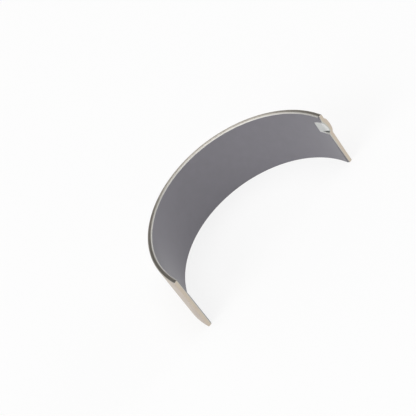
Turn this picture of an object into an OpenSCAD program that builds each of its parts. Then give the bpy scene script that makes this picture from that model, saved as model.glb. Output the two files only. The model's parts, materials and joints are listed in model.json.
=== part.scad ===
// Plain half bearing shell for a crankshaft journal.
// It stands on one side face. The journal axis is Z, the crown of the half circle points along +Y, and the two
// parting faces lie in the plane y = 0. The locating tang is at the +X end, near the upper rim.

/* [Shell] */
// Diameter of the housing bore that the back seats in
back_d = 70; // [40:0.5:120]
// Wall thickness, steel back and lining together
wall = 1.5; // [1.2:0.05:2.5]
// Width of the shell along the journal
width = 22; // [16:0.5:40]

/* [Edges] */
// Radial reach of the chamfer along both rims of the bore
rim_chamfer_radial = 0.5; // [0.2:0.05:0.7]
// Axial reach of the same chamfer
rim_chamfer_axial = 0.3; // [0.15:0.05:0.6]
// Edge break along both rims of the back
back_break = 0.2; // [0.1:0.05:0.3]
// Edge break along the bore edge of both parting faces
parting_break = 0.25; // [0.1:0.05:0.4]

/* [Tang] */
// Width of the lug on the back, along the journal
tang_w = 6; // [4:0.1:8]
// Length of the ramp, along the back from the parting face
tang_len = 4.3; // [3:0.1:7]
// Height of the lug above the back at the parting face
tang_rise = 1; // [0.5:0.05:1.4]
// Radius of the crown across the lug
tang_crown_r = 7; // [5:0.25:12]
// Distance of the crown's crest below the middle of the lug
tang_crest_drop = 0.4; // [0:0.05:0.8]
// Distance from the upper rim to the side of the tang
tang_inset = 2.3; // [1:0.1:6]
// Depth of the pocket in the bore at the parting face
pocket_depth = 0.9; // [0.4:0.05:1.1]
// Distance from the lower side of the lug to the foot of the pocket's lower wall
pocket_margin_low = 0.95; // [0.5:0.05:1.5]
// Distance from the upper side of the lug to the upper end of the fold where the pocket runs out
pocket_margin_high = 1.3; // [0.5:0.05:1.5]
// Lean of the pocket's lower wall: how far its edge in the bore lies below its foot, at the parting face
pocket_wall_lean = 0.45; // [0.1:0.05:0.6]
// Width of the level part of the floor at the parting face, from the foot of the lower wall
pocket_level = 1.1; // [0.5:0.1:1.4]
// Spread of the floor's upper side from the end of the fold to the bore at the parting face
pocket_spread = 1.4; // [0.5:0.1:1.8]

/* [Hidden] */
$fn = 180;
// Overshoot of the cutters past the faces that they cut
past = 1;
// Length of the pocket's loft, which runs on past the fold into the open bore, as a multiple of the ramp
loft_run_on = 1.25;
// Straight steps in the arc of the pocket's floor
floor_arc_steps = 6;

back_r = back_d / 2;
bore_r = back_r - wall;
tang_z = width - tang_inset - tang_w / 2;

// Where the ramps run out, as points of the back and of the bore
lug_end_angle = tang_len / back_r * 180 / PI;
lug_end = back_r * [cos(lug_end_angle), sin(lug_end_angle)];
pocket_end = bore_r * [cos(lug_end_angle), sin(lug_end_angle)];
// Where the lug's root ends, past the end of the ramp
lug_root_angle = (tang_len + past) / back_r * 180 / PI;

// Slope of the lug's ramp, in degrees from the tangent at the parting face
lug_slope = atan2(back_r + tang_rise - lug_end.x, lug_end.y);

// Ends of the fold across the bore, and of the pocket's mouth at the parting face
fold_low = tang_z - tang_w / 2 + pocket_margin_low;
fold_high = tang_z + tang_w / 2 - pocket_margin_high;
mouth_high = fold_high + pocket_spread;

// Arc that lifts the floor from the end of its level part to the bore at the upper end of the mouth
floor_level_end = fold_low + pocket_level;
floor_rise_w = mouth_high - floor_level_end;
floor_arc_r = (floor_rise_w ^ 2 + pocket_depth ^ 2) / (2 * pocket_depth);

// Far edge of the loft: the ramp's line from the floor at the parting face through the fold, and the edge's upper end
loft_start = [bore_r + pocket_depth, 0];
loft_tip = loft_start + loft_run_on * (pocket_end - loft_start);
loft_tip_high = floor_level_end + loft_run_on * (fold_high - floor_level_end);

// Cross-section of the strip: side faces, back, and chamfered bore edges
module strip_section() {
  polygon([
    [bore_r, rim_chamfer_axial],
    [bore_r + rim_chamfer_radial, 0],
    [back_r - back_break, 0],
    [back_r, back_break],
    [back_r, width - back_break],
    [back_r - back_break, width],
    [bore_r + rim_chamfer_radial, width],
    [bore_r, width - rim_chamfer_axial]
  ]);
}

// Lug on the back: a block rooted in the middle of the wall, crowned by a cylinder that lies along the ramp
module tang_lug() {
  root_r = back_r - wall / 2;
  root_end = root_r * [cos(lug_root_angle), sin(lug_root_angle)];
  top_x = back_r + tang_rise + past;
  intersection() {
    translate([0, 0, tang_z - tang_w / 2])
      linear_extrude(tang_w)
        polygon([[root_r, -past], [top_x, -past], [top_x, root_end.y], root_end]);
    translate([back_r + tang_rise, 0, tang_z - tang_crest_drop])
      rotate([0, 0, lug_slope])
        translate([-tang_crown_r, 0, 0])
          rotate([90, 0, 0])
            cylinder(h = 2 * (tang_len + past), r = tang_crown_r, center = true);
  }
}

// Section of the pocket at the parting face: a leaning lower wall, a level floor, and an arc up to the bore
module pocket_section() {
  cut_h = pocket_depth + past;
  arc_end = acos(1 - cut_h / floor_arc_r);
  polygon([
    [bore_r - past, fold_low - pocket_wall_lean * cut_h / pocket_depth],
    [bore_r + pocket_depth, fold_low],
    for (step = [0 : floor_arc_steps])
      let (a = arc_end * step / floor_arc_steps)
        [bore_r + pocket_depth - floor_arc_r * (1 - cos(a)), floor_level_end + floor_arc_r * sin(a)]
  ]);
}

// Pocket in the bore: a loft from its section at the parting face to a straight edge past the fold, where it runs out
module tang_pocket() {
  hull() {
    rotate([90, 0, 0])
      linear_extrude(2 * past)
        pocket_section();
    translate([0, 0, fold_low])
      linear_extrude(loft_tip_high - fold_low)
        polygon([loft_tip, loft_tip - [past, 0], loft_tip - [past, past]]);
  }
}

// Deburring cut along the bore edge of the parting face at the +X end
module parting_edge_cut() {
  translate([0, 0, -past])
    linear_extrude(width + 2 * past)
      polygon([
        [bore_r - past, -past],
        [bore_r + parting_break + past, -past],
        [bore_r - past, parting_break + past]
      ]);
}

module bearing_shell() {
  color("#9c9896")
    difference() {
      union() {
        rotate_extrude()
          strip_section();
        tang_lug();
      }
      // Broaching plane: everything below y = 0 is cut away, which leaves both parting faces
      translate([-back_d, -2 * back_d, -past])
        cube([2 * back_d, 2 * back_d, width + 2 * past]);
      tang_pocket();
      parting_edge_cut();
      mirror([1, 0, 0])
        parting_edge_cut();
    }
}

bearing_shell();
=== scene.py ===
# %% [markdown]
# # A plain bearing shell for a crankshaft journal
#
# The real part is a strip of steel, bonded to a thin soft lining, that is bent into half a
# circle. In an engine it lines half of the bore that a spinning journal runs in. Nothing on it
# moves, so the whole lesson is about one small, precise piece of metal: its section, the pressed
# tang at one end, and the seven ways in which its surface was made.
#
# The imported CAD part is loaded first. It fixes the frame, in metres, and the sizes that may not
# change.

import json
import math

import bmesh
import bpy
from mathutils import Matrix, Vector


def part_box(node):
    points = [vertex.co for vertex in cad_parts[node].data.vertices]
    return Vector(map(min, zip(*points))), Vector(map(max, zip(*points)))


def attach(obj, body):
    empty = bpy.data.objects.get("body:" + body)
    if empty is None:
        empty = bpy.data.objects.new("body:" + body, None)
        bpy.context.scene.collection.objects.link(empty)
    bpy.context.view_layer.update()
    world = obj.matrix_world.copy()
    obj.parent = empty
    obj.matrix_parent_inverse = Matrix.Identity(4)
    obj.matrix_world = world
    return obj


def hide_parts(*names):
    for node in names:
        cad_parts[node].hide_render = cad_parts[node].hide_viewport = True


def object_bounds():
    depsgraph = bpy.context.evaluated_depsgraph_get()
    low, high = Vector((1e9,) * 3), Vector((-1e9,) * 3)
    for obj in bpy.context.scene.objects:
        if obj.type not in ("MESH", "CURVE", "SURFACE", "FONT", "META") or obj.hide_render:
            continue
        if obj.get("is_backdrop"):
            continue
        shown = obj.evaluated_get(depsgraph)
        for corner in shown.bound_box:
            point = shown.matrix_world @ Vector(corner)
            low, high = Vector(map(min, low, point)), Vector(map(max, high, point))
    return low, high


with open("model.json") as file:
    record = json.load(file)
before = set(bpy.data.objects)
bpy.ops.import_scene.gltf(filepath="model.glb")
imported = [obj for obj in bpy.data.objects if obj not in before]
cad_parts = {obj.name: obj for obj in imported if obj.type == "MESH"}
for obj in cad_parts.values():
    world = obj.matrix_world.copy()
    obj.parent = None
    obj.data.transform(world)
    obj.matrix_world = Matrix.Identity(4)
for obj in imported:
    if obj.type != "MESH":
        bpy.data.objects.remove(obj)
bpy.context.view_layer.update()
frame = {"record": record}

# %% [markdown]
# ## Sizes
#
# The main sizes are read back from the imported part, so the dressed piece can't drift away from
# it: the back's radius and the width from its box, the bore and the place of the tang from its
# mounts. The small edge sizes are not stored there, so they are named here, in millimetres, as a
# drawing would give them.

# %% Read the main sizes, name the small ones
MM = 0.001

shell_low, shell_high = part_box("bearing_shell")
mounts = {mount["name"]: mount for mount in frame["record"]["mounts"]}
back_r = -shell_low.x
bore_r = mounts["journal_seat"]["dims"]["r_mm"] * MM
width = shell_high.z
tang_z = mounts["locating_tang"]["pos_m"][2]

rim_chamfer_radial = 0.5 * MM
rim_chamfer_axial = 0.3 * MM
back_break = 0.2 * MM
parting_break = 0.25 * MM
lining_thickness = 0.3 * MM
print(f"radius of the back {back_r / MM:.1f} mm, of the bore {bore_r / MM:.1f} mm")
print(f"width {width / MM:.1f} mm, middle of the tang {tang_z / MM:.1f} mm up")

# %% [markdown]
# ## The strip, bent half a turn
#
# In the factory the strip is cut flat, pressed round and then machined. Here the machined section
# is drawn once, as one face of eight corners standing on the parting plane, and the spin operator
# carries it half a turn round the journal axis. A cylinder with a hole cut out would give the
# same outline, but the spin leaves clean rows of quads that run round the bore, and the later
# steps need those rows. The first face stays behind as one parting face and the last one becomes
# the other, so the solid is closed.

# %% Spin the section
SPIN_STEPS = 200
MERGE = 0.001 * MM

shell = bmesh.new()
outline = [
    (bore_r, rim_chamfer_axial),
    (bore_r + rim_chamfer_radial, 0),
    (back_r - back_break, 0),
    (back_r, back_break),
    (back_r, width - back_break),
    (back_r - back_break, width),
    (bore_r + rim_chamfer_radial, width),
    (bore_r, width - rim_chamfer_axial),
]
corners = [shell.verts.new((radius, 0, height)) for radius, height in outline]
section = shell.faces.new(corners)
bmesh.ops.spin(
    shell,
    geom=[section, *section.edges, *section.verts],
    cent=(0, 0, 0),
    axis=(0, 0, 1),
    angle=math.pi,
    steps=SPIN_STEPS,
)
bmesh.ops.remove_doubles(shell, verts=shell.verts, dist=MERGE)
bmesh.ops.recalc_face_normals(shell, faces=shell.faces)
open_edges = [edge for edge in shell.edges if not edge.is_manifold]
print(f"half ring: {len(shell.faces)} faces, {len(open_edges)} open edges")

# %% [markdown]
# The cutter that chamfers the rims runs a little off centre. Past the crown the chamfer gets
# narrower, and at the plain end it is not much more than half as wide as at the tang. Only its
# outer edge moves, towards the bore.

# %% Narrow the chamfer towards the plain end
CHAMFER_AT_PLAIN_END = 0.6
# Two places closer than this count as one.
SAME_PLACE = 0.01 * MM
chamfer_r = bore_r + rim_chamfer_radial


def blend(start, end, share):
    """The value that lies that share of the way from start to end."""
    return start + (end - start) * share


chamfer_verts = [
    vert
    for vert in shell.verts
    if abs(math.hypot(vert.co.x, vert.co.y) - chamfer_r) < SAME_PLACE
]
for vert in chamfer_verts:
    past_crown = max(0, math.atan2(vert.co.y, vert.co.x) / (math.pi / 2) - 1)
    reach = rim_chamfer_radial * blend(1, CHAMFER_AT_PLAIN_END, past_crown)
    vert.co.x *= (bore_r + reach) / chamfer_r
    vert.co.y *= (bore_r + reach) / chamfer_r
narrowest = rim_chamfer_radial * CHAMFER_AT_PLAIN_END
print(f"{len(chamfer_verts)} chamfer vertices, {narrowest / MM:.2f} mm wide at the plain end")

# %% [markdown]
# ## Which face was made how
#
# Each face of the half ring comes from its own operation: the bore is bored, the sides are
# turned, the rims are chamfered, the ends are broached and the back is rolled strip under a thin
# flash of tin. The direction that a face looks in is enough to tell them apart, and it is
# simplest now, while there are only eight bands and two ends. The bevels that come next hand the
# number on to the faces that they make.

# %% Number the finishes by direction
FINISHES = ("lining", "side", "chamfer", "parting", "back", "pocket", "scraped")
LINING, SIDE, CHAMFER, PARTING, BACK, POCKET, SCRAPED = range(len(FINISHES))
# How far a face's normal points along an axis: square to it, or only leaning towards it.
SQUARE_ON, LEANING = 0.99, 0.1


def finish_of(face):
    """The number of a face's finish, from the direction that it looks in."""
    middle = face.calc_center_median()
    outward = face.normal.dot(Vector((middle.x, middle.y, 0)).normalized())
    if face.normal.y < -SQUARE_ON and abs(middle.y) < SAME_PLACE:
        return PARTING
    if abs(face.normal.z) > SQUARE_ON:
        return SIDE
    if abs(face.normal.z) > LEANING:
        return CHAMFER
    return LINING if outward < 0 else BACK


for face in shell.faces:
    face.material_index = finish_of(face)
for number, name in enumerate(FINISHES):
    print(name, sum(face.material_index == number for face in shell.faces), "faces")

# %% [markdown]
# ## Broken edges
#
# No machined edge is perfectly sharp. The bore edge of each parting face is deburred with a hand
# scraper, which leaves a narrow grey chamfer in the lining. All the other edges are only tumbled,
# which rounds them by a few hundredths of a millimetre. That is too small to measure in a
# picture, but it is what catches a thin line of light, so it is worth a bevel of its own.

# %% Deburr the bore edges of the parting faces, then round the rest
TUMBLED_ROUND = 0.05 * MM
TUMBLED_ANGLE = math.radians(20)


def on_parting_bore(edge):
    """Whether an edge lies where the bore meets a parting face."""
    return all(
        abs(vert.co.y) < SAME_PLACE and abs(abs(vert.co.x) - bore_r) < SAME_PLACE
        for vert in edge.verts
    )


deburred = bmesh.ops.bevel(
    shell,
    geom=[edge for edge in shell.edges if on_parting_bore(edge)],
    offset=parting_break,
    offset_type="OFFSET",
    affect="EDGES",
    segments=1,
    profile=0.5,
    material=-1,
)
for face in deburred["faces"]:
    face.material_index = SCRAPED
deburred_count = len(deburred["faces"])

sharp_edges = [edge for edge in shell.edges if edge.calc_face_angle() > TUMBLED_ANGLE]
bmesh.ops.bevel(
    shell,
    geom=sharp_edges,
    offset=TUMBLED_ROUND,
    offset_type="OFFSET",
    affect="EDGES",
    segments=2,
    profile=0.5,
    material=-1,
)
print(f"{deburred_count} deburred faces, {len(sharp_edges)} edges rounded")

# %% [markdown]
# ## The tang: more rows to push
#
# The tang is the small lug that stops the shell from turning. A punch pushes a tongue of the wall
# outward at the parting face, so there is a lug on the back and a pocket of nearly the same size
# in the bore. Both run out along the strip as a ramp, and the pocket ends there in a straight
# fold.
#
# A boolean would cut this from two more solids, but it leaves thin triangles that no bevel
# survives. Pushing the rows of the half ring the way the punch does is closer to the real thing.
# The bisect operator first cuts the rows: even ones over the lug, close ones where the pocket's
# lower side is sheared, and a last one through the axis at the fold. All heights are distances
# from the middle of the tang.

# %% Cut rows for the tang
RAMP_LEN = 4.3 * MM
MOUTH_LOW, MOUTH_HIGH = -2.8 * MM, 3.1 * MM
LIP_WIDTH = 0.65 * MM
LEDGE_WIDTH = 0.15 * MM
ROW_STEP = 0.3 * MM
ROWS_BELOW, LIP_STEPS, LEDGE_STEPS = 3, 3, 4
FLOOR_ROWS, ROWS_ABOVE = 18, 2

ramp_angle = RAMP_LEN / back_r
rows_below = [MOUTH_LOW - step * ROW_STEP for step in range(1, ROWS_BELOW + 1)]
lip_rows = [MOUTH_LOW + LIP_WIDTH * step / LIP_STEPS for step in range(LIP_STEPS + 1)]
ledge_rows = [
    MOUTH_LOW + LIP_WIDTH + LEDGE_WIDTH * step / LEDGE_STEPS
    for step in range(1, LEDGE_STEPS + 1)
]
floor_rows = [MOUTH_HIGH - step * ROW_STEP for step in range(-ROWS_ABOVE, FLOOR_ROWS)]
rows = [*rows_below, *lip_rows, *ledge_rows, *floor_rows]


def cut(point, direction):
    """Cuts the whole shell along the plane through a point, square to a direction."""
    bmesh.ops.bisect_plane(
        shell,
        geom=[*shell.verts, *shell.edges, *shell.faces],
        dist=MERGE,
        plane_co=point,
        plane_no=direction,
    )


for height in rows:
    cut((0, 0, tang_z + height), (0, 0, 1))
cut((0, 0, 0), (-math.sin(ramp_angle), math.cos(ramp_angle), 0))
print(f"{len(rows)} rows across the tang, {len(shell.faces)} faces")

# %% [markdown]
# The scraper was led by hand, and at this end it bit deeper towards the two corners of the strip:
# the grey line is four times as wide there as beside the tang. The deburred edge is even so far,
# so its vertices are scaled about the corner that was cut away, more and more from the tang to
# each rim. At the corners the blade also ran over the end of the rim's chamfer and took its
# brightness.

# %% Scrape the tang end unevenly
SCRAPED_ZONE = 0.31 * MM
# Width beside the tang and at the rims, as multiples of the even width so far.
SCRAPED_AT_TANG, SCRAPED_AT_RIM = 0.4, 1.6
SCRAPED_CORNER = 0.5 * MM

scraped_verts = [
    vert
    for vert in shell.verts
    if bore_r - SCRAPED_ZONE < vert.co.x < bore_r + SCRAPED_ZONE and vert.co.y < SCRAPED_ZONE
]
tang_bottom, tang_top = tang_z + min(rows), tang_z + MOUTH_HIGH
for vert in scraped_verts:
    below = (tang_bottom - vert.co.z) / tang_bottom
    above = (vert.co.z - tang_top) / (width - tang_top)
    bite = blend(SCRAPED_AT_TANG, SCRAPED_AT_RIM, max(0, below, above))
    vert.co.x = bore_r + (vert.co.x - bore_r) * bite
    vert.co.y *= bite

dulled = 0
for face in shell.faces:
    middle = face.calc_center_median()
    if face.material_index == CHAMFER and middle.x > 0 and middle.y < SCRAPED_CORNER:
        face.material_index = SCRAPED
        dulled += 1
print(f"{len(scraped_verts)} vertices scaled along the scraped edge, {dulled} chamfer faces dulled")

# %% [markdown]
# ## How deep in the wall
#
# The lining is bonded to the steel, and where the wall is cut through, its edge shows as a paler
# band. That band has to follow the wall when the tang is pressed, so the depth of every vertex
# below the bore is stored now, in millimetres, as an attribute of the mesh. A finish that went by
# the distance from the journal axis would lose the band at the tang.

# %% Store the depth below the bore
wall_depth = shell.verts.layers.float.new("wall_depth")
for vert in shell.verts:
    vert[wall_depth] = (math.hypot(vert.co.x, vert.co.y) - bore_r) / MM
deepest = max(vert[wall_depth] for vert in shell.verts)
print(f"wall {deepest:.2f} mm thick")

# %% [markdown]
# ## The tang: slide and press
#
# The pocket is wider at the parting face than at the fold. Rows that run straight would cross its
# slanted edges in small steps, so the bore's rows slide first: the two that mark the mouth follow
# its edges, and the ones beside them give way. Then every vertex moves straight out along X. The
# ramp says how far at this distance from the parting face, and a profile says what share of it at
# this height. The real tongue isn't even. At the parting face the wall is nearly sheared along
# the lower side, which leaves a torn lip and a steep ledge. The ledge runs out a little past the
# middle of the ramp, and from there on the floor sinks gently from the lip. It rises slowly to
# the upper side.

# %% The shape of the punch
# The pocket: its depth at the mouth, the ends of its fold, and how far the rows beside it give way.
POCKET_DEPTH = 0.9 * MM
FOLD_LOW, FOLD_HIGH = -2.65 * MM, 1.7 * MM
SLIDE_REACH = 0.8 * MM
# Its floor: the share of its width that sinks to full depth, and the power that bends the rise.
FLOOR_SINK, FLOOR_CURVE = 0.2, 1.7
# The lip's share of the depth. The ledge: its length, the power of its taper, its slope.
LIP_DEPTH = 0.18
SHEAR_LEN, SHEAR_CURVE, SHEAR_STEEPNESS = 2.4 * MM, 1.5, 4.1
# The lug: its height, its crest, the reach of its crown, and the foot and width of its two sides.
LUG_RISE = 0.72 * MM
LUG_CREST, CROWN_REACH = 0.2 * MM, 4.4 * MM
LUG_LOW, LOW_SIDE = -2.85 * MM, 1.25 * MM
LUG_HIGH, HIGH_SIDE = 3.4 * MM, 1.1 * MM


def mouth_at(y):
    """The lower and upper edge of the pocket at a distance y from the parting plane."""
    share = min(y / (bore_r * math.sin(ramp_angle)), 1)
    return blend(MOUTH_LOW, FOLD_LOW, share), blend(MOUTH_HIGH, FOLD_HIGH, share)


def ramp(rise, radius, y):
    """How far a straight ramp stands out from a circle, y away from the parting plane."""
    end_x = radius * math.cos(ramp_angle)
    end_y = radius * math.sin(ramp_angle)
    if y >= end_y:
        return 0
    return blend(radius + rise, end_x, y / end_y) - math.sqrt(radius * radius - y * y)


def bore_row(height, y):
    """Where a bore row cut at this height goes: its new height, and how far it is pushed out."""
    low, high = mouth_at(y)
    if height <= MOUTH_LOW:
        give = max(0, 1 - (MOUTH_LOW - height) / SLIDE_REACH)
        return height + (low - MOUTH_LOW) * give, 0
    if height >= MOUTH_HIGH:
        give = max(0, 1 - (height - MOUTH_HIGH) / SLIDE_REACH)
        return height + (high - MOUTH_HIGH) * give, 0

    depth = ramp(POCKET_DEPTH, bore_r, y)
    way = min(1, y / SHEAR_LEN)
    lip_end = depth * LIP_DEPTH
    ledge = low + LIP_WIDTH
    foot = ledge + LEDGE_WIDTH * (1 - way**SHEAR_CURVE)
    step = min((foot - ledge) * SHEAR_STEEPNESS, depth - lip_end)
    above_lip = height - MOUTH_LOW - LIP_WIDTH
    if above_lip < 0:
        share = 1 + above_lip / LIP_WIDTH
        return blend(low, ledge, share), lip_end * share
    if above_lip < LEDGE_WIDTH:
        share = above_lip / LEDGE_WIDTH
        return blend(ledge, foot, share), lip_end + step * share
    share = (above_lip - LEDGE_WIDTH) / (MOUTH_HIGH - MOUTH_LOW - LIP_WIDTH - LEDGE_WIDTH)
    sink = min(1, share / FLOOR_SINK)
    rise = max(0, (share - FLOOR_SINK) / (1 - FLOOR_SINK)) ** FLOOR_CURVE
    return blend(foot, high, share), blend(lip_end + step, depth, sink) * (1 - rise)


def lug_share(height):
    """What share of its full height the lug has: a slight crown between two sloping sides."""
    crown = 1 - ((height - LUG_CREST) / CROWN_REACH) ** 2
    low_side = (height - LUG_LOW) / LOW_SIDE
    high_side = (LUG_HIGH - height) / HIGH_SIDE
    return max(0, min(crown, low_side, high_side))


lug_width = LUG_HIGH - LUG_LOW
mouth_width = MOUTH_HIGH - MOUTH_LOW
print(f"lug {lug_width / MM:.2f} mm wide, pocket {mouth_width / MM:.2f} mm wide at its mouth")

# %% [markdown]
# The push on the bore is a limit and not an addition: a vertex goes out to the pocket's surface
# if it isn't there yet. So the deburred edge, which already lies a little way out, ends where the
# pocket begins, as it does under a punch. Where the ledge has run out, its rows meet and the
# doubles are merged. Inside the mouth the lining takes the finish of the pocket, and the scraped
# edge along the floor is as bright as a fresh cut. The punch doesn't reach the lip beside the
# ledge, so a second attribute says how far each vertex was ironed.

# %% Press the tang
ROWS_MEET = 0.002 * MM
middle_r = (bore_r + back_r) / 2
ironed = shell.verts.layers.float.new("ironed")
for vert in shell.verts:
    height = vert.co.z - tang_z
    y = vert.co.y
    if vert.co.x < 0 or y > RAMP_LEN + MERGE:
        continue
    if math.hypot(vert.co.x, y) < middle_r:
        new_height, push = bore_row(height, y)
        vert.co.x = max(vert.co.x, math.sqrt(bore_r * bore_r - y * y) + push)
        vert.co.z = tang_z + new_height
        on_lip = height < MOUTH_LOW + LIP_WIDTH + SAME_PLACE
        vert[ironed] = min(1, y / SHEAR_LEN) ** 2 if on_lip else 1
    else:
        vert.co.x += ramp(LUG_RISE, back_r, y) * lug_share(height)

for face in shell.faces:
    middle = face.calc_center_median()
    height = middle.z - tang_z
    low, high = mouth_at(middle.y)
    in_ramp = middle.x > 0 and middle.y < bore_r * math.sin(ramp_angle)
    if not in_ramp or not low < height < high:
        continue
    if face.material_index == LINING:
        face.material_index = POCKET
    elif face.material_index == SCRAPED and height > low + LIP_WIDTH + LEDGE_WIDTH:
        face.material_index = CHAMFER
bmesh.ops.remove_doubles(shell, verts=shell.verts, dist=ROWS_MEET)
bmesh.ops.recalc_face_normals(shell, faces=shell.faces)
open_edges = [edge for edge in shell.edges if not edge.is_manifold]
pocket_faces = [face for face in shell.faces if face.material_index == POCKET]
print(f"{len(pocket_faces)} pocket faces, {len(open_edges)} open edges")

# %% [markdown]
# ## The finished piece
#
# The mesh is closed and all in place, so the object stays at the origin, unturned. Smooth shading
# would bend light over the flat side faces as if they were round, because each corner's normal is
# an average with the tiny bevels beside it. A Weighted Normal modifier lets the large faces win,
# so the flats stay flat and only the bevels curve. Edges that a tool left crisp are marked sharp
# first: the steep ones, and the whole outline of the pocket.

# %% Mark the crisp edges
CRISP_ANGLE = math.radians(30)

for face in shell.faces:
    face.smooth = True
for edge in shell.edges:
    sides = {face.material_index == POCKET for face in edge.link_faces}
    edge.smooth = edge.calc_face_angle() < CRISP_ANGLE and len(sides) == 1
print("crisp edges", sum(not edge.smooth for edge in shell.edges))

# %% [markdown]
# The bmesh then becomes an ordinary mesh object. Two calls tie it to the frame: it rides on the
# one body that there is, and the plain CAD solid that it stands for is hidden.

# %% Make the piece and tie it to the frame
shell_mesh = bpy.data.meshes.new("bearing_shell_finish")
shell.to_mesh(shell_mesh)
shell.free()
shell_piece = bpy.data.objects.new("bearing_shell_finish", shell_mesh)
bpy.context.scene.collection.objects.link(shell_piece)
flat_stays_flat = shell_piece.modifiers.new("flat_stays_flat", "WEIGHTED_NORMAL")
flat_stays_flat.keep_sharp = True

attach(shell_piece, "root")
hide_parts("bearing_shell")
print(f"{shell_piece.name}: {len(shell_mesh.vertices)} vertices, {len(shell_mesh.polygons)} faces")

# %% [markdown]
# ## Colours and nodes
#
# Colours are easiest to read off and compare as sRGB hex values, but shader sockets take linear
# numbers, so one function turns the first into the second. A second one adds a node with its
# settings and links, and a third starts an empty material. Node trees could be built link by
# link, but then every material would be three times as long and say less.

# %% Helpers for colours and node trees
def linear(hex_colour):
    """An sRGB hex colour as linear RGBA, the form that shader sockets take."""
    channels = [int(hex_colour[i : i + 2], 16) / 255 for i in (1, 3, 5)]
    return [c / 12.92 if c <= 0.04045 else ((c + 0.055) / 1.055) ** 2.4 for c in channels] + [1]


def add(tree, kind, inputs=None, **settings):
    """Adds one node: settings are its properties, inputs are constants or feeding sockets."""
    node = tree.nodes.new(kind)
    for name, value in settings.items():
        setattr(node, name, value)
    for key, value in (inputs or {}).items():
        if isinstance(value, bpy.types.NodeSocket):
            tree.links.new(value, node.inputs[key])
        else:
            node.inputs[key].default_value = value
    return node


def new_finish(name):
    """A new material, and its node tree with nothing in it yet."""
    material = bpy.data.materials.new(name)
    material.use_nodes = True
    material.node_tree.nodes.clear()
    return material, material.node_tree


print("mid grey #808080 in linear light:", round(linear("#808080")[0], 4))

# %% [markdown]
# ## The strip laid flat
#
# Nearly all marks on this part follow the strip: rolling marks run along it, boring marks run
# round it, and both bend with it. So the patterns are drawn on the strip as if it still lay flat.
# Object coordinates give the place in the frame, and the angle round the journal axis times the
# radius gives the way along the strip. The result is in millimetres, so a noise scale of one over
# a length makes spots of about that length. A UV map would do as well, but it would need a seam,
# and the tang would stretch it.

# %% Coordinates along, through and across the strip
def laid_flat(tree):
    """X along the strip, Y outward from the journal axis, Z along it, all in millimetres."""
    place = add(tree, "ShaderNodeTexCoord").outputs["Object"]
    in_mm = add(tree, "ShaderNodeVectorMath", {0: place, "Scale": 1 / MM}, operation="SCALE")
    axes = add(tree, "ShaderNodeSeparateXYZ", {0: in_mm.outputs[0]}).outputs
    angle = add(tree, "ShaderNodeMath", {0: axes["Y"], 1: axes["X"]}, operation="ARCTAN2")
    along = add(tree, "ShaderNodeMath", {0: angle.outputs[0], 1: back_r / MM}, operation="MULTIPLY")
    level = add(tree, "ShaderNodeCombineXYZ", {"X": axes["X"], "Y": axes["Y"]})
    outward = add(tree, "ShaderNodeVectorMath", {0: level.outputs[0]}, operation="LENGTH")
    flat = {"X": along.outputs[0], "Y": outward.outputs["Value"], "Z": axes["Z"]}
    return add(tree, "ShaderNodeCombineXYZ", flat).outputs[0]


half_turn_mm = math.pi / MM
print(f"strip {half_turn_mm * back_r:.1f} mm on the back, {half_turn_mm * bore_r:.1f} mm in the bore")

# %% [markdown]
# ## The lining
#
# The running surface is a soft alloy of aluminium and tin, bored to size with a fine tool. It
# looks like grey satin: no mirror image, a slight violet cast, and only a faint cloudiness where
# the tin lies unevenly. The metal is covered with a thin skin of oxide that scatters light, so it
# is set as a dark satin with a part of metal in it. Full metal would go black wherever the room
# is dark, and the real one doesn't.

# %% Aluminium-tin, bored
lining, tree = new_finish("aluminium_tin_bored")
strip = laid_flat(tree)

# Tin-rich patches a few millimetres across: a slow change of tone, and of how dull the satin is.
CLOUD_MM = 2.5
clouds = add(tree, "ShaderNodeTexNoise", {"Vector": strip, "Scale": 1 / CLOUD_MM, "Detail": 3.0})
tones = {0: clouds.outputs["Fac"], 6: linear("#7c7a80"), 7: linear("#838188")}
tone = add(tree, "ShaderNodeMix", tones, data_type="RGBA")
dullness = {"Value": clouds.outputs["Fac"], "To Min": 0.38, "To Max": 0.46}
dull = add(tree, "ShaderNodeMapRange", dullness)

# Boring marks run round the bore. A real feed is about 0.1 mm, drawn at 0.25 mm so that it shows.
FEED_MM, FEED_LEN_MM = 0.25, 20
feed_scale = (1 / FEED_LEN_MM, 0, 1 / FEED_MM)
feed_place = add(tree, "ShaderNodeMapping", {"Vector": strip, "Scale": feed_scale}).outputs[0]
feed = add(tree, "ShaderNodeTexNoise", {"Vector": feed_place, "Scale": 1.0, "Detail": 2.0})
relief = {"Strength": 0.12, "Distance": 0.004 * MM, "Height": feed.outputs["Fac"]}
bored = add(tree, "ShaderNodeBump", relief)

satin = {
    "Base Color": tone.outputs[2],
    "Metallic": 0.25,
    "Roughness": dull.outputs[0],
    "Normal": bored.outputs[0],
}
surface = add(tree, "ShaderNodeBsdfPrincipled", satin)
add(tree, "ShaderNodeOutputMaterial", {"Surface": surface.outputs[0]})
print(lining.name, "clouds", CLOUD_MM, "mm, feed", FEED_MM, "mm")

# %% [markdown]
# ## The side faces
#
# Both sides of the strip are faced on a lathe, so they carry fine rings round the journal axis.
# Rings like these spread a reflection across themselves, in the way that a record or a pan shows
# a bright streak. That is why the rim is bright at the crown and dark towards both ends, though
# it is one flat face. The Anisotropic socket does this, and a tangent that points outward from
# the axis gives the direction.

# %% Steel, fine-turned
side, tree = new_finish("steel_fine_turned")
strip = laid_flat(tree)
place = add(tree, "ShaderNodeTexCoord").outputs["Object"]
level = add(tree, "ShaderNodeVectorMath", {0: place, 1: (1, 1, 0)}, operation="MULTIPLY")
outward = add(tree, "ShaderNodeVectorMath", {0: level.outputs[0]}, operation="NORMALIZE")

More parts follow.
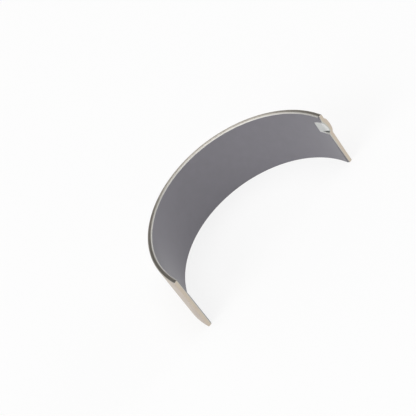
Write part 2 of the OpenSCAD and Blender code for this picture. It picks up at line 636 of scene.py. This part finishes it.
# Faint stains along the rim, and rings 0.08 mm apart, which is about real size.
STAIN_MM = 6
RING_MM, RING_LEN_MM = 0.08, 40
stain = add(tree, "ShaderNodeTexNoise", {"Vector": strip, "Scale": 1 / STAIN_MM, "Detail": 3.0})
tones = {0: stain.outputs["Fac"], 6: linear("#c1bbb1"), 7: linear("#d0cac0")}
tone = add(tree, "ShaderNodeMix", tones, data_type="RGBA")
ring_scale = (1 / RING_LEN_MM, 1 / RING_MM, 0)
ring_place = add(tree, "ShaderNodeMapping", {"Vector": strip, "Scale": ring_scale}).outputs[0]
rings = add(tree, "ShaderNodeTexNoise", {"Vector": ring_place, "Scale": 1.0, "Detail": 2.0})
relief = {"Strength": 0.1, "Distance": 0.002 * MM, "Height": rings.outputs["Fac"]}
turned = add(tree, "ShaderNodeBump", relief)

turned_steel = {
    "Base Color": tone.outputs[2],
    "Metallic": 1.0,
    "Roughness": 0.38,
    "Anisotropic": 0.85,
    "Tangent": outward.outputs[0],
    "Normal": turned.outputs[0],
}
surface = add(tree, "ShaderNodeBsdfPrincipled", turned_steel)
add(tree, "ShaderNodeOutputMaterial", {"Surface": surface.outputs[0]})
print(side.name, "rings", RING_MM, "mm")

# %% [markdown]
# ## Chamfers
#
# The chamfer round each rim cuts through the lining into the steel. A fresh cut has no skin of
# oxide yet, so this is the palest line on the part. The stored depth below the bore tells lining
# from steel: the outer part of the chamfer is a little warmer.

# %% Lining and steel, bright cut
chamfer, tree = new_finish("lining_and_steel_bright_cut")
strip = laid_flat(tree)
depth = add(tree, "ShaderNodeAttribute", attribute_name="wall_depth").outputs["Fac"]
LINING_MM = lining_thickness / MM
BOND_MM = 0.03
bond = {"Value": depth, "From Min": LINING_MM - BOND_MM, "From Max": LINING_MM + BOND_MM}
in_steel = add(tree, "ShaderNodeMapRange", bond)
tones = {0: in_steel.outputs[0], 6: linear("#d0cfca"), 7: linear("#c8c3bb")}
tone = add(tree, "ShaderNodeMix", tones, data_type="RGBA")

# The cutter chatters slightly: ripples across the cut, about 0.4 mm apart, change how dull it is.
CHATTER_MM, CHATTER_LEN_MM = 0.4, 3
ripple_scale = (1 / CHATTER_MM, 1 / CHATTER_LEN_MM, 1 / CHATTER_LEN_MM)
ripple_place = add(tree, "ShaderNodeMapping", {"Vector": strip, "Scale": ripple_scale}).outputs[0]
ripple = add(tree, "ShaderNodeTexNoise", {"Vector": ripple_place, "Scale": 1.0, "Detail": 1.0})
dullness = {"Value": ripple.outputs["Fac"], "To Min": 0.48, "To Max": 0.6}
dull = add(tree, "ShaderNodeMapRange", dullness)

bright_cut = {"Base Color": tone.outputs[2], "Metallic": 1.0, "Roughness": dull.outputs[0]}
surface = add(tree, "ShaderNodeBsdfPrincipled", bright_cut)
add(tree, "ShaderNodeOutputMaterial", {"Surface": surface.outputs[0]})
print(chamfer.name, "chatter", CHATTER_MM, "mm")

# %% [markdown]
# ## Scraped edges
#
# The scraper only tears the metal: the lining along the ends of the bore, and the ends of the
# rims' chamfers at the tang. Torn metal scatters light instead of mirroring it, so these narrow
# strips are as grey as the lining, and a little darker in the grooves that the tool leaves across
# them.

# %% Aluminium-tin, scraped
scraped, tree = new_finish("aluminium_tin_scraped")
strip = laid_flat(tree)

# Grooves across the edge, about 0.5 mm apart along the journal.
GROOVE_MM, GROOVE_LEN_MM = 0.5, 3
groove_scale = (1 / GROOVE_LEN_MM, 1 / GROOVE_LEN_MM, 1 / GROOVE_MM)
groove_place = add(tree, "ShaderNodeMapping", {"Vector": strip, "Scale": groove_scale}).outputs[0]
grooves = add(tree, "ShaderNodeTexNoise", {"Vector": groove_place, "Scale": 1.0, "Detail": 2.0})
tones = {0: grooves.outputs["Fac"], 6: linear("#6f6e71"), 7: linear("#7f7e82")}
tone = add(tree, "ShaderNodeMix", tones, data_type="RGBA")
relief = {"Strength": 0.15, "Distance": 0.005 * MM, "Height": grooves.outputs["Fac"]}
torn = add(tree, "ShaderNodeBump", relief)

torn_lining = {
    "Base Color": tone.outputs[2],
    "Metallic": 0.25,
    "Roughness": 0.5,
    "Normal": torn.outputs[0],
}
surface = add(tree, "ShaderNodeBsdfPrincipled", torn_lining)
add(tree, "ShaderNodeOutputMaterial", {"Surface": surface.outputs[0]})
print(scraped.name, "grooves", GROOVE_MM, "mm")

# %% [markdown]
# ## The parting faces
#
# The two ends are broached: a row of teeth is drawn along the journal, and leaves straight
# streaks in that direction. The steel shows warm here, from cream to a faint pink, because a
# trace of oil and rust bloom stays in the streaks. The edge of the lining is a pale grey, and the
# teeth smear a film of that soft metal a little way over the steel. On a face this narrow the
# streaks are the only other detail that the eye gets, so they are drawn in the tone as well as in
# the relief.

# %% Steel, broached
parting, tree = new_finish("steel_broached")
strip = laid_flat(tree)

# Streaks of 0.2 mm, near their real width, and a slow bloom of 5 mm.
STREAK_MM, STREAK_LEN_MM = 0.2, 15
BLOOM_MM = 5
streak_scale = (0, 1 / STREAK_MM, 1 / STREAK_LEN_MM)
streak_place = add(tree, "ShaderNodeMapping", {"Vector": strip, "Scale": streak_scale}).outputs[0]
streaks = add(tree, "ShaderNodeTexNoise", {"Vector": streak_place, "Scale": 1.0, "Detail": 2.0})
tones = {0: streaks.outputs["Fac"], 6: linear("#c3b7a8"), 7: linear("#d4cab9")}
streaked = add(tree, "ShaderNodeMix", tones, data_type="RGBA")
bloom = add(tree, "ShaderNodeTexNoise", {"Vector": strip, "Scale": 1 / BLOOM_MM, "Detail": 2.0})
bloom_share = {"Value": bloom.outputs["Fac"], "From Min": 0.4, "From Max": 0.7, "To Max": 0.5}
bloomed = add(tree, "ShaderNodeMapRange", bloom_share)
tones = {0: bloomed.outputs[0], 6: streaked.outputs[2], 7: linear("#c2b2a7")}
steel_tone = add(tree, "ShaderNodeMix", tones, data_type="RGBA")

# The pale edge of the lining, smeared 0.25 mm over the steel.
SMEAR_MM = 0.25
depth = add(tree, "ShaderNodeAttribute", attribute_name="wall_depth").outputs["Fac"]
smear = {"Value": depth, "From Min": LINING_MM - BOND_MM, "From Max": LINING_MM + SMEAR_MM}
in_steel = add(tree, "ShaderNodeMapRange", smear)
tones = {0: in_steel.outputs[0], 6: linear("#c0c1ba"), 7: steel_tone.outputs[2]}
tone = add(tree, "ShaderNodeMix", tones, data_type="RGBA")
relief = {"Strength": 0.15, "Distance": 0.004 * MM, "Height": streaks.outputs["Fac"]}
broached = add(tree, "ShaderNodeBump", relief)

broached_steel = {
    "Base Color": tone.outputs[2],
    "Metallic": 1.0,
    "Roughness": 0.38,
    "Normal": broached.outputs[0],
}
surface = add(tree, "ShaderNodeBsdfPrincipled", broached_steel)
add(tree, "ShaderNodeOutputMaterial", {"Surface": surface.outputs[0]})
print(parting.name, "streaks", STREAK_MM, "mm")

# %% [markdown]
# ## The back
#
# The back is cold-rolled steel under a flash of tin a few thousandths of a millimetre thick,
# which keeps it from rusting on the shelf. Tin that thin takes on the colour of what is under it:
# a warm silver that drifts slowly between pink and olive, slightly cloudy where it is thinner,
# with faint drawn-out marks along the strip from the rolls. Each of the three is too weak to be
# noticed by itself, and together they keep a large plain face from looking painted.

# %% Rolled steel with a tin flash
back, tree = new_finish("steel_rolled_tin_flash")
strip = laid_flat(tree)

# The colour drifts over about 14 mm, and the tin is cloudy in spots of about 5 mm.
DRIFT_MM = 14
TIN_MM = 5
drift = add(tree, "ShaderNodeTexNoise", {"Vector": strip, "Scale": 1 / DRIFT_MM, "Detail": 1.0})
tones = {0: drift.outputs["Fac"], 6: linear("#c9bcb2"), 7: linear("#c4baa8")}
warm = add(tree, "ShaderNodeMix", tones, data_type="RGBA")
tin = add(tree, "ShaderNodeTexNoise", {"Vector": strip, "Scale": 1 / TIN_MM, "Detail": 3.0})
thin = {"Value": tin.outputs["Fac"], "From Min": 0.3, "From Max": 0.7, "To Max": 0.5}
thinness = add(tree, "ShaderNodeMapRange", thin, interpolation_type="SMOOTHSTEP")
tones = {0: thinness.outputs[0], 6: warm.outputs[2], 7: linear("#b7aa9f")}
cloudy = add(tree, "ShaderNodeMix", tones, data_type="RGBA")
dullness = {"Value": tin.outputs["Fac"], "To Min": 0.36, "To Max": 0.46}
dull = add(tree, "ShaderNodeMapRange", dullness)

# Roll marks along the strip, 0.35 mm wide: two or three times the real width, so that they show.
ROLL_MM, ROLL_LEN_MM = 0.35, 12
roll_scale = (1 / ROLL_LEN_MM, 0, 1 / ROLL_MM)
roll_place = add(tree, "ShaderNodeMapping", {"Vector": strip, "Scale": roll_scale}).outputs[0]
rolls = add(tree, "ShaderNodeTexNoise", {"Vector": roll_place, "Scale": 1.0, "Detail": 3.0})
marks = {"Value": rolls.outputs["Fac"], "From Min": 0.4, "From Max": 0.75, "To Max": 0.15}
marked = add(tree, "ShaderNodeMapRange", marks)
tones = {0: marked.outputs[0], 6: cloudy.outputs[2], 7: linear("#a4978d")}
tone = add(tree, "ShaderNodeMix", tones, data_type="RGBA")
relief = {"Strength": 0.1, "Distance": 0.003 * MM, "Height": rolls.outputs["Fac"]}
rolled = add(tree, "ShaderNodeBump", relief)

tinned_steel = {
    "Base Color": tone.outputs[2],
    "Metallic": 1.0,
    "Roughness": dull.outputs[0],
    "Normal": rolled.outputs[0],
}
surface = add(tree, "ShaderNodeBsdfPrincipled", tinned_steel)
add(tree, "ShaderNodeOutputMaterial", {"Surface": surface.outputs[0]})
print(back.name, "spots", TIN_MM, "mm, roll marks", ROLL_MM, "mm")

# %% [markdown]
# ## The pocket
#
# The punch irons the lining flat, so the pocket is the one polished place in the bore. It mirrors
# the white paper below and looks nearly white, while the ledge mirrors the ceiling and looks
# dark. Low roughness does most of this, and the marks that the punch drags along the strip
# keep it from looking like glass. Towards the mouth the tone is painted paler, a painted
# reflection of the paper. Only the torn lip stays as dull as a cut.

# %% Lining metal, coined
pocket, tree = new_finish("aluminium_tin_coined")
strip = laid_flat(tree)

# Drag marks, 0.15 mm wide, along the strip.
DRAG_MM, DRAG_LEN_MM = 0.15, 5
drag_scale = (1 / DRAG_LEN_MM, 0, 1 / DRAG_MM)
drag_place = add(tree, "ShaderNodeMapping", {"Vector": strip, "Scale": drag_scale}).outputs[0]
drag = add(tree, "ShaderNodeTexNoise", {"Vector": drag_place, "Scale": 1.0, "Detail": 2.0})
tones = {0: drag.outputs["Fac"], 6: linear("#bfc1bf"), 7: linear("#cdcecc")}
dragged = add(tree, "ShaderNodeMix", tones, data_type="RGBA")

# A painted reflection: the tone is palest at the mouth and fades out 1.8 mm from it.
PAINTED_REFLECTION_MM = 1.8
way = add(tree, "ShaderNodeSeparateXYZ", {0: strip}).outputs["X"]
near_mouth = {"Value": way, "From Max": PAINTED_REFLECTION_MM, "To Min": 1.0, "To Max": 0.0}
painted_reflection = add(tree, "ShaderNodeMapRange", near_mouth)
# The painted reflection is mixed into the drag-marked tone here.
tones = {0: painted_reflection.outputs[0], 6: dragged.outputs[2], 7: linear("#e6e7e5")}
polished = add(tree, "ShaderNodeMix", tones, data_type="RGBA")

# The torn lip: the tone and the dullness of a bright cut.
ironed_share = add(tree, "ShaderNodeAttribute", attribute_name="ironed").outputs["Fac"]
tones = {0: ironed_share, 6: linear("#d0cfca"), 7: polished.outputs[2]}
tone = add(tree, "ShaderNodeMix", tones, data_type="RGBA")
TORN_ROUGHNESS, POLISHED_ROUGHNESS = 0.55, 0.18
dullness = {"Value": ironed_share, "To Min": TORN_ROUGHNESS, "To Max": POLISHED_ROUGHNESS}
dull = add(tree, "ShaderNodeMapRange", dullness)
relief = {"Strength": 0.1, "Distance": 0.003 * MM, "Height": drag.outputs["Fac"]}
flattened = add(tree, "ShaderNodeBump", relief)

coined = {
    "Base Color": tone.outputs[2],
    "Metallic": 1.0,
    "Roughness": dull.outputs[0],
    "Normal": flattened.outputs[0],
}
surface = add(tree, "ShaderNodeBsdfPrincipled", coined)
add(tree, "ShaderNodeOutputMaterial", {"Surface": surface.outputs[0]})
print(pocket.name, "drag marks", DRAG_MM, "mm")

# %% [markdown]
# ## Dress the shell
#
# The faces are numbered in the order lining, side, chamfer, parting face, back, pocket, scraped
# edge. The materials only have to be added to the mesh in that same order.

# %% Put the finishes on the mesh
for finish in (lining, side, chamfer, parting, back, pocket, scraped):
    shell_mesh.materials.append(finish)
print([finish.name for finish in shell_mesh.materials])

# %% [markdown]
# ## The paper that it stands on
#
# The shell stands on a wide sheet of white paper. A plain white floor would come out light grey
# in the picture, and more lamps would bleach the metal. So the part of the light that goes
# straight to the eye, or that a polished face mirrors, is partly replaced by plain white. The
# rest stays real paper and keeps the soft shadow under the rim.

# %% Floor
FLOOR_HALF = 3
WHITE_SHARE = 0.8

sheet = bmesh.new()
bmesh.ops.create_grid(sheet, x_segments=1, y_segments=1, size=FLOOR_HALF)
floor_mesh = bpy.data.meshes.new("floor")
sheet.to_mesh(floor_mesh)
sheet.free()
floor = bpy.data.objects.new("floor", floor_mesh)
bpy.context.scene.collection.objects.link(floor)
floor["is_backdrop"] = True

paper, tree = new_finish("paper_matt_white")
rays = add(tree, "ShaderNodeLightPath").outputs
direct = {0: rays["Is Camera Ray"], 1: rays["Is Glossy Ray"]}
seen = add(tree, "ShaderNodeMath", direct, operation="MAXIMUM")
through_glass = {0: seen.outputs[0], 1: rays["Is Transmission Ray"]}
seen = add(tree, "ShaderNodeMath", through_glass, operation="MAXIMUM")
share = add(tree, "ShaderNodeMath", {0: seen.outputs[0], 1: WHITE_SHARE}, operation="MULTIPLY")
matt = add(tree, "ShaderNodeBsdfDiffuse", {"Color": linear("#fafafa")})
white = add(tree, "ShaderNodeEmission", {"Color": linear("#ffffff"), "Strength": 1.0})
sheet_shader = {0: share.outputs[0], 1: matt.outputs[0], 2: white.outputs[0]}
surface = add(tree, "ShaderNodeMixShader", sheet_shader)
add(tree, "ShaderNodeOutputMaterial", {"Surface": surface.outputs[0]})
floor_mesh.materials.append(paper)
print(f"floor {2 * FLOOR_HALF} m square, white share {WHITE_SHARE}")

# %% [markdown]
# ## The studio
#
# Metal shows the room more than itself, so the room is built first: pale walls up to about 15
# degrees above the floor, which fade into a dark ceiling at 30 degrees. The ceiling is what the
# dark ends of the rim mirror. A gradient on the world's direction is enough for that, and it is
# the same from every side.

# %% World: pale walls, dark ceiling
# Heights are sines of the angle above the floor: 0.25 is about 15 degrees, 0.5 is 30.
WALL_TOP, CEILING_FROM = 0.25, 0.5
WALL_LIGHT, CEILING_LIGHT = 1.0, 0.1

world = bpy.data.worlds.new("studio")
world.use_nodes = True
tree = world.node_tree
tree.nodes.clear()
direction = add(tree, "ShaderNodeTexCoord").outputs["Generated"]
upward = add(tree, "ShaderNodeSeparateXYZ", {0: direction}).outputs["Z"]
walls = {
    "Value": upward,
    "From Min": WALL_TOP,
    "From Max": CEILING_FROM,
    "To Min": WALL_LIGHT,
    "To Max": CEILING_LIGHT,
}
room = add(tree, "ShaderNodeMapRange", walls, interpolation_type="SMOOTHSTEP")
background = add(tree, "ShaderNodeBackground", {"Color": room.outputs[0]})
add(tree, "ShaderNodeOutputWorld", {"Surface": background.outputs[0]})
bpy.context.scene.world = world
print(f"room: walls {WALL_LIGHT}, ceiling {CEILING_LIGHT}")

# %% [markdown]
# Three softboxes light it. The large one hangs overhead, and is the light that the crown of the
# rim picks up. The two at the sides lift the ends of the bore, the left one more, as the picture
# shows. They are large and far compared with a part of 70 mm, so the shadows stay soft, and
# together they bring a written colour back at about its own level.

# %% Softboxes
def softbox(name, diameter, watts, distance, azimuth, elevation):
    """A round lamp that looks at the origin from a distance in metres and two angles in degrees."""
    data = bpy.data.lights.new(name, "AREA")
    data.shape = "DISK"
    data.size = diameter
    data.energy = watts
    lamp = bpy.data.objects.new(name, data)
    turn = Matrix.Rotation(math.radians(azimuth), 3, "Z")
    turn = turn @ Matrix.Rotation(math.radians(90 - elevation), 3, "X")
    lamp.location = turn @ Vector((0, 0, distance))
    lamp.rotation_euler = turn.to_euler()
    lamp.visible_camera = False
    bpy.context.scene.collection.objects.link(lamp)
    print(f"{name}: {watts} W at {distance} m")


softbox("overhead_softbox", diameter=2.4, watts=28, distance=2.0, azimuth=0, elevation=90)
softbox("left_softbox", diameter=1.4, watts=15, distance=2.2, azimuth=-85, elevation=35)
softbox("right_softbox", diameter=0.9, watts=8, distance=2.2, azimuth=85, elevation=14)

# %% [markdown]
# ## The camera
#
# The picture was taken from in front of the open side, a little to the left, looking down at
# about 39 degrees with the camera tilted, so the shell seems to stand on a slope. The angles, the
# distance and the lens come from fitting the two rims and the corners of the parting faces to the
# picture. The camera is turned in three plain steps: round the vertical, up to its elevation, and
# then round its own line of sight.

# %% Camera
SENSOR_MM = 36
LENS_MM = 179.47
DISTANCE_MM = 648.79
AZIMUTH, ELEVATION, ROLL = -18.263, 39.180, 37.105
AIM_MM = (-4.375, 23.990, 11.0)

camera_data = bpy.data.cameras.new("camera")
camera_data.sensor_width = SENSOR_MM
camera_data.lens = LENS_MM
camera = bpy.data.objects.new("camera", camera_data)
bpy.context.scene.collection.objects.link(camera)
turn = Matrix.Rotation(math.radians(AZIMUTH), 3, "Z")
turn = turn @ Matrix.Rotation(math.radians(90 - ELEVATION), 3, "X")
turn = turn @ Matrix.Rotation(math.radians(-ROLL), 3, "Z")
camera.location = (Vector(AIM_MM) + turn @ Vector((0, 0, DISTANCE_MM))) * MM
camera.rotation_euler = turn.to_euler()
bpy.context.scene.camera = camera
bpy.context.scene.view_settings.view_transform = "Standard"
print("camera at", [round(value, 3) for value in camera.location])

# %% [markdown]
# ## The box of the scene
#
# The dressed shell is meant to stay inside the imported part, so the box of everything that is
# shown, the floor aside, is printed.

# %% Print the box of the scene
low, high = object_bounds()
print("visual box", tuple(low), tuple(high))
